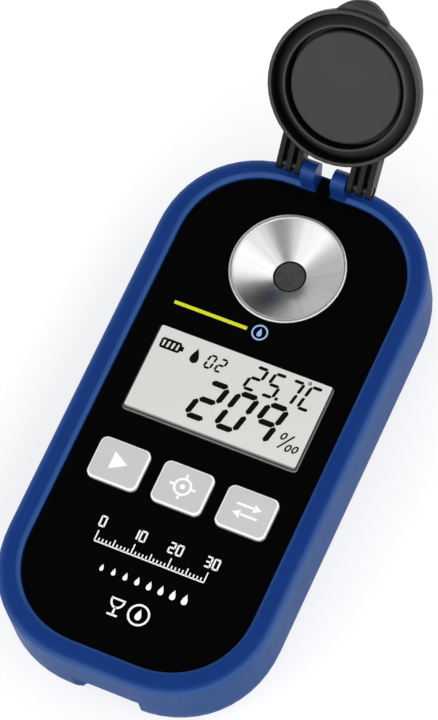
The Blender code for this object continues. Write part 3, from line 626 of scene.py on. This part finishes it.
def make_display():
    """The raised block over the display, and the pale sheet in its top."""
    edge, bevel = 0, 1
    bm = bmesh.new()
    rings = inset_rings(window_low, window_high, (
        (0.0, 0.7, window_low.z),
        (0.0, 0.7, WINDOW_TOP - 0.45),
        (0.05, 0.65, WINDOW_TOP - 0.33),
        (0.3, 0.5, WINDOW_TOP - 0.08),
        (0.42, 0.45, WINDOW_TOP - 0.02),
    ))
    loft(bm, rings, [edge, edge, bevel, bevel])
    block = mesh_object("display_lens", bm,
                        [looks["window edge"].material, looks["black"].material], "housing")
    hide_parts("display_window")

    bm = bmesh.new()
    loft(bm, inset_rings(Vector((-18.55, -3.7)), Vector((19.2, 14.95)), (
        (0.0, 0.35, WINDOW_TOP - 0.2),
        (0.0, 0.35, WINDOW_TOP - 0.03),
        (0.05, 0.32, WINDOW_TOP - 0.002),
    )))
    sheet = mesh_object("display_sheet", bm, [looks["lcd"].material], "housing")


# Characters, their left ends, their foot, and their width, height, stroke and slant.
DISPLAY_ROWS = (
    ("209", (-6.05, 0.47, 6.99), -1.05, 4.0, 8.15, 1.22, 0.235),
    ("257C", (2.35, 6.4, 10.3, 14.3), 8.42, 2.35, 5.15, 0.68, 0.2),
    ("02", (-7.0, -4.65), 9.6, 1.35, 2.85, 0.46, 0.2),
)


def make_display_content():
    """The reading, the temperature, the small number and the battery."""
    thickness = 0.016
    low = WINDOW_TOP + PRINT_LIFT
    shapes = []
    for characters, lefts, foot, *form in DISPLAY_ROWS:
        for character, left in zip(characters, lefts):
            shapes += digit(character, (left, foot), *form)
    decimal_point = bar((9.3, 8.5), (9.95, 8.5), 0.65)
    degree = ring_strokes((14.66, 14.06), 0.28, 0.28, 0.2, count=12)
    shapes += [decimal_point, *degree, *per_mille(), drop((-9.45, 11.15), 3.4)]
    shapes += battery_icon()
    print_marks("display_segments", shapes, low, low + thickness, looks["segment"].material,
                "housing")


def per_mille():
    stroke = 0.36
    shapes = [bar((14.05, -1.0), (16.45, 2.45), stroke)]
    for middle in ((14.4, 1.75), (16.2, -0.35), (17.65, -0.2)):
        shapes += ring_strokes(middle, 0.45, 0.7, stroke, slant=0.25, count=14)
    return shapes


def battery_icon():
    """An outline with a nub, and three leaning bars for the charge."""
    left, right, low, high = -17.1, -13.1, 10.5, 12.35
    stroke = 0.5
    nub_length, nub_width = 0.85, 1.05
    first_bar, bar_pitch, half_bar, lean = 0.85, 1.05, 0.27, 0.25
    outline = [((left, low), (right, low)), ((right, low), (right, high)),
               ((right, high), (left, high)), ((left, high), (left, low))]
    shapes = [bar(start, end, stroke) for start, end in outline]
    middle = (low + high) / 2
    shapes.append(bar((right, middle), (right + nub_length, middle), nub_width))
    for index in range(3):
        x = left + first_bar + bar_pitch * index
        shapes.append([(x - half_bar, low), (x + half_bar, low), (x + half_bar + lean, high),
                       (x - half_bar + lean, high)])
    return shapes


# ---- label print ------------------------------------------------------------


def make_label_print():
    """The white scale and symbols, the yellow line, and the badge at its right end."""
    thickness = 0.026
    low = LABEL_TOP + PRINT_LIFT
    high = low + thickness
    white = [*ruler(), *liquid_row(), *glass_icon((-2.0, -43.2)), *drop_ring((3.0, -43.2))]
    print_marks("label_print", white, low, high, looks["white ink"].material, "housing")

    accent = [bar((-18.6, 20.7), (-2.4, 20.7), 0.75)]
    print_marks("label_accent", accent, low, high, looks["yellow ink"].material, "housing")
    badge = [*ring_strokes((0.4, 20.8), 1.55, 1.55, 0.36, count=40), drop((0.4, 20.85), 1.9)]
    print_marks("label_badge", badge, low, high, looks["pale blue ink"].material, "housing")


def ruler():
    """A scale from 0 to 30, with longer ticks at the fives and tens."""
    base, left, step, last = -32.4, -11.9, 0.80, 30
    tick_width, base_width = 0.26, 0.3
    number_rise, number_height = 3.3, 2.1
    shapes = []
    for tick in range(last + 1):
        reach = 0.9
        if tick % 10 == 0:
            reach = 2.3
        elif tick % 5 == 0:
            reach = 1.6
        x = left + step * tick
        shapes.append(bar((x, base), (x, base + reach), tick_width))
    shapes.append(bar((left, base), (left + last * step, base), base_width))
    for tick in range(0, last + 1, 10):
        middle = (left + step * tick, base + number_rise)
        shapes += small_number(str(tick), middle, number_height)
    return shapes


def small_number(text, middle, height):
    """Plain stick numerals, standing on middle."""
    width, stroke = height * 0.5, height * 0.17
    pitch = width + height * 0.3
    left = middle[0] - (pitch * (len(text) - 1) + width) / 2
    ends = segment_ends(width, height)
    shapes = []
    for index, character in enumerate(text):
        x, y = left + pitch * index, middle[1]
        for letter in SEGMENTS[character]:
            start, end = ends[letter]
            shapes.append(bar((x + start[0], y + start[1]), (x + end[0], y + end[1]), stroke))
    return shapes


def liquid_row():
    """A row of small drops that grow to the right."""
    left, y, pitch = -8.0, -37.0, 2.6
    smallest, growth = 1.5, 0.12
    return [drop((left + pitch * index, y), smallest + growth * index) for index in range(8)]


def glass_icon(centre):
    """A stemmed glass, with the level of its liquid."""
    x, y = centre
    stroke = 0.42
    bowl = ring_strokes((x, y + 1.2), 1.35, 1.7, stroke, start=180.0, sweep=180.0)
    stem = bar((x, y - 0.4), (x, y - 2.0), stroke)
    foot = bar((x - 1.1, y - 2.1), (x + 1.1, y - 2.1), stroke)
    level = bar((x - 1.55, y + 1.3), (x + 1.55, y + 1.3), 0.36)
    return [*bowl, stem, foot, level]


def drop_ring(centre):
    x, y = centre
    ring = ring_strokes((x, y - 0.2), 2.1, 2.1, 0.42, count=32)
    return [*ring, drop((x, y - 0.1), 2.4)]


# ---- keys -------------------------------------------------------------------


def make_key(name, body, marks):
    """A key cap with a stem, a flange under the label, a pale edge painted as a highlight, and a
    dished top.
    """
    low, high = box_mm(name)
    centre = (low + high) / 2
    half_x, half_y, corner = 5.5, 4.6, 1.5
    stem = 1.5
    flange_top = high.z - 3.4
    flange_bottom = flange_top - 0.9
    flange_x, flange_y = half_x + 0.8, half_y + 0.8
    ink = 0.025
    # edge marks the rings painted pale as a highlight.
    face, edge = 0, 1
    levels = [
        (stem, stem, stem, low.z, face),
        (stem, stem, stem, flange_bottom, face),
        (flange_x, flange_y, corner, flange_bottom, face),
        (flange_x, flange_y, corner, flange_top, face),
        (half_x, half_y, corner, flange_top, face),
        (half_x, half_y, corner, high.z - 0.42, edge),
    ]
    for inset, tighter, drop_down, material in (
        (0.05, 0.03, 0.26, edge),
        (0.16, 0.1, 0.13, edge),
        (0.34, 0.2, 0.05, face),
        (0.7, 0.5, 0.01, face),
        (1.1, 0.8, 0.03, face),
    ):
        levels.append((half_x - inset, half_y - inset, corner - tighter, high.z - drop_down,
                       material))
    bm = bmesh.new()
    rings = [
        [(centre.x + x, centre.y + y, z) for x, y in rounded_rect(across, along, radius)]
        for across, along, radius, z, _ in levels
    ]
    loft(bm, rings, [level[-1] for level in levels[:-1]])
    cap = mesh_object(f"{name}_cap", bm, [looks["key"].material, looks["key edge painted highlight"].material],
                      body, smooth_angle=50)
    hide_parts(name)
    shapes = [[(centre.x + x, centre.y + y) for x, y in mark] for mark in marks]
    print_marks(f"{name}_mark", shapes, high.z - ink, high.z, looks["key ink"].material, body)


def make_keys():
    """A triangle on the first key, a target on the second, two arrows on the third."""
    rise, stroke = 0.1, 0.5
    middle = (0.0, rise)
    play = [[(-1.6, -2.0 + rise), (1.9, rise), (-1.6, 2.0 + rise)]]
    ring, dot, spoke_from, spoke_to = 1.7, 0.55, 1.97, 2.8
    target = [*ring_strokes(middle, ring, ring, stroke, count=32), disc(middle, dot)]
    for quarter in range(4):
        turn = Matrix.Rotation(math.radians(90 * quarter), 2)
        start, end = turn @ Vector((spoke_from, 0.0)), turn @ Vector((spoke_to, 0.0))
        target.append(bar((start.x, start.y + rise), (end.x, end.y + rise), stroke))
    tail, neck, barb, point, half_head = 2.6, 1.2, 1.1, 2.8, 0.95
    arrows = []
    for side in (-1, 1):
        y = side + rise
        arrows.append(bar((-tail * side, y), (neck * side, y), stroke))
        arrows.append([(barb * side, y - half_head * side), (point * side, y),
                       (barb * side, y + half_head * side)])
    make_key("key_read", "read_key", play)
    make_key("key_zero", "zero_key", target)
    make_key("key_unit", "unit_key", arrows)


# ---- battery cover ----------------------------------------------------------


def make_cover_grip():
    """Raised bars for the thumb on the outside of the battery cover."""
    low, _ = box_mm("battery_cover")
    first_row, pitch = low.y + 2.6, 1.15
    longest, shorter, half_width, corner = 6.5, 0.45, 0.32, 0.12
    bm = bmesh.new()
    for row in range(6):
        half_length = longest - shorter * row
        y = first_row + pitch * row
        rings = []
        for inset, z in ((0.14, low.z - 0.22), (0.0, low.z - 0.1), (0.0, low.z + 0.1)):
            outline = rounded_rect(half_length - inset, half_width - inset, corner, steps=3)
            rings.append([(x, y + across, z) for x, across in outline])
        loft(bm, rings)
    grip = mesh_object("cover_grip", bm, [looks["blue side"].material], "cover")


# ---- sample well ------------------------------------------------------------


def make_well():
    """The dish: a cone down to the prism's eye, with a rounded rim on the label."""
    top, bottom = well_high.z, well_low.z
    rim, barrel = (well_high.x - well_low.x) / 2, 11.0
    flange = LABEL_TOP + 0.3
    prism_top = top - 4.3
    eye, seat, seat_top = 3.4, 5.2, bottom + 1.0
    half_rim, rim_rise, rim_steps = 0.48, 0.28, 8
    turned, ground = 0, 1
    rim_arc = []
    for step in range(rim_steps + 1):
        angle = math.pi * (1 - step / rim_steps)
        rim_arc.append((rim - half_rim + half_rim * math.cos(angle),
                        top - rim_rise + rim_rise * math.sin(angle)))
    below = [
        (rim, flange), (barrel, flange), (barrel, bottom), (seat, bottom), (seat, seat_top),
        (eye, seat_top), (eye, prism_top - 0.1), (eye + 0.05, prism_top + 0.02),
        (eye + 0.2, prism_top + 0.1),
    ]
    bm = turned_mesh([*rim_arc, *below], (WELL_CENTRE.x, WELL_CENTRE.y),
                     materials=[ground] * len(rim_arc) + [turned] * len(below))
    well = mesh_object("sample_dish", bm,
                       [looks["steel"].material, looks["ground steel"].material], "housing")
    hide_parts("sample_well")


# ---- floor, light and camera ------------------------------------------------


def make_floor():
    half_size, below = 2.5, 0.0002
    bm = bmesh.new()
    bmesh.ops.create_grid(bm, x_segments=1, y_segments=1, size=half_size)
    mesh = bpy.data.meshes.new("floor")
    bm.to_mesh(mesh)
    bm.free()
    floor = bpy.data.objects.new("floor", mesh)
    floor.location.z = -below
    bpy.context.scene.collection.objects.link(floor)
    look = Look("pale floor", 0.6)
    tone = look.range(look.noise(60.0, 3.0), 0.0, 1.0)
    look.colour(look.mix(tone, (0.41, 0.41, 0.41), (0.43, 0.43, 0.43)))
    look.set("Emission Color", (1.0, 1.0, 1.0, 1.0))
    look.set("Emission Strength", 0.62)
    look.set("Specular IOR Level", 0.1)
    mesh.materials.append(look.material)


def softbox(name, azimuth, elevation, size, radiance):
    """A rectangular softbox aimed at the face; azimuth runs anticlockwise from +X."""
    distance, face = 1.3, Vector((0.0, 0.0, 0.02))
    light = bpy.data.lights.new(name, "AREA")
    light.shape = "RECTANGLE"
    light.size, light.size_y = size
    light.energy = radiance * math.pi * size[0] * size[1]
    across, climb = math.radians(azimuth), math.radians(elevation)
    direction = Vector((math.cos(across) * math.cos(climb), math.sin(across) * math.cos(climb),
                        math.sin(climb)))
    obj = bpy.data.objects.new(name, light)
    bpy.context.scene.collection.objects.link(obj)
    obj.location = face + direction * distance
    obj.rotation_euler = direction.to_track_quat("Z", "Y").to_euler()


def make_lights():
    """Two broad softboxes at the sides, a bright horizon and a dark ceiling."""
    softbox("right softbox", -2.0, 48.0, (3.0, 0.8), 1.75)
    softbox("left softbox", -118.0, 47.0, (1.6, 0.8), 1.9)
    world = bpy.data.worlds.new("studio")
    bpy.context.scene.world = world
    world.use_nodes = True
    tree = world.node_tree
    place = tree.nodes.new("ShaderNodeTexCoord")
    split = tree.nodes.new("ShaderNodeSeparateXYZ")
    ramp = tree.nodes.new("ShaderNodeValToRGB")
    stops = ((0.0, 1.2), (0.50, 1.0), (0.70, 0.50), (0.84, 0.10))
    spare_position = 0.5
    while len(ramp.color_ramp.elements) < len(stops):
        ramp.color_ramp.elements.new(spare_position)
    for element, (height, value) in zip(ramp.color_ramp.elements, stops):
        element.position = height
        element.color = (value, value, value, 1.0)
    tree.links.new(place.outputs["Generated"], split.inputs["Vector"])
    tree.links.new(split.outputs["Z"], ramp.inputs["Fac"])
    tree.links.new(ramp.outputs["Color"], tree.nodes["Background"].inputs["Color"])
    tree.nodes["Background"].inputs["Strength"].default_value = 1.0


def make_camera():
    """Looks down at the face from the lower right, with the instrument leaning left."""
    azimuth, elevation, roll = (math.radians(angle) for angle in (39.34, 65.6, -16.29))
    aim = Vector((-4.81, 12.28, LABEL_TOP)) * MM
    distance = 0.842
    back = Vector((
        math.sin(azimuth) * math.cos(elevation),
        -math.cos(azimuth) * math.cos(elevation),
        math.sin(elevation),
    ))
    right = Vector((0.0, 0.0, 1.0)).cross(back).normalized()
    up = back.cross(right)
    across = right * math.cos(roll) + up * math.sin(roll)
    above = up * math.cos(roll) - right * math.sin(roll)
    data = bpy.data.cameras.new("camera")
    data.lens = 209.1
    data.sensor_width = 36.0
    data.clip_start = 0.05
    camera = bpy.data.objects.new("camera", data)
    bpy.context.scene.collection.objects.link(camera)
    matrix = Matrix((across, above, back)).transposed().to_4x4()
    matrix.translation = aim + back * distance
    camera.matrix_world = matrix
    bpy.context.scene.camera = camera
    bpy.context.scene.view_settings.view_transform = "Standard"


dress_cad_nodes()
paint_lid()
make_display()
make_display_content()
make_label_print()
make_keys()
make_cover_grip()
make_well()
make_floor()
make_lights()
make_camera()
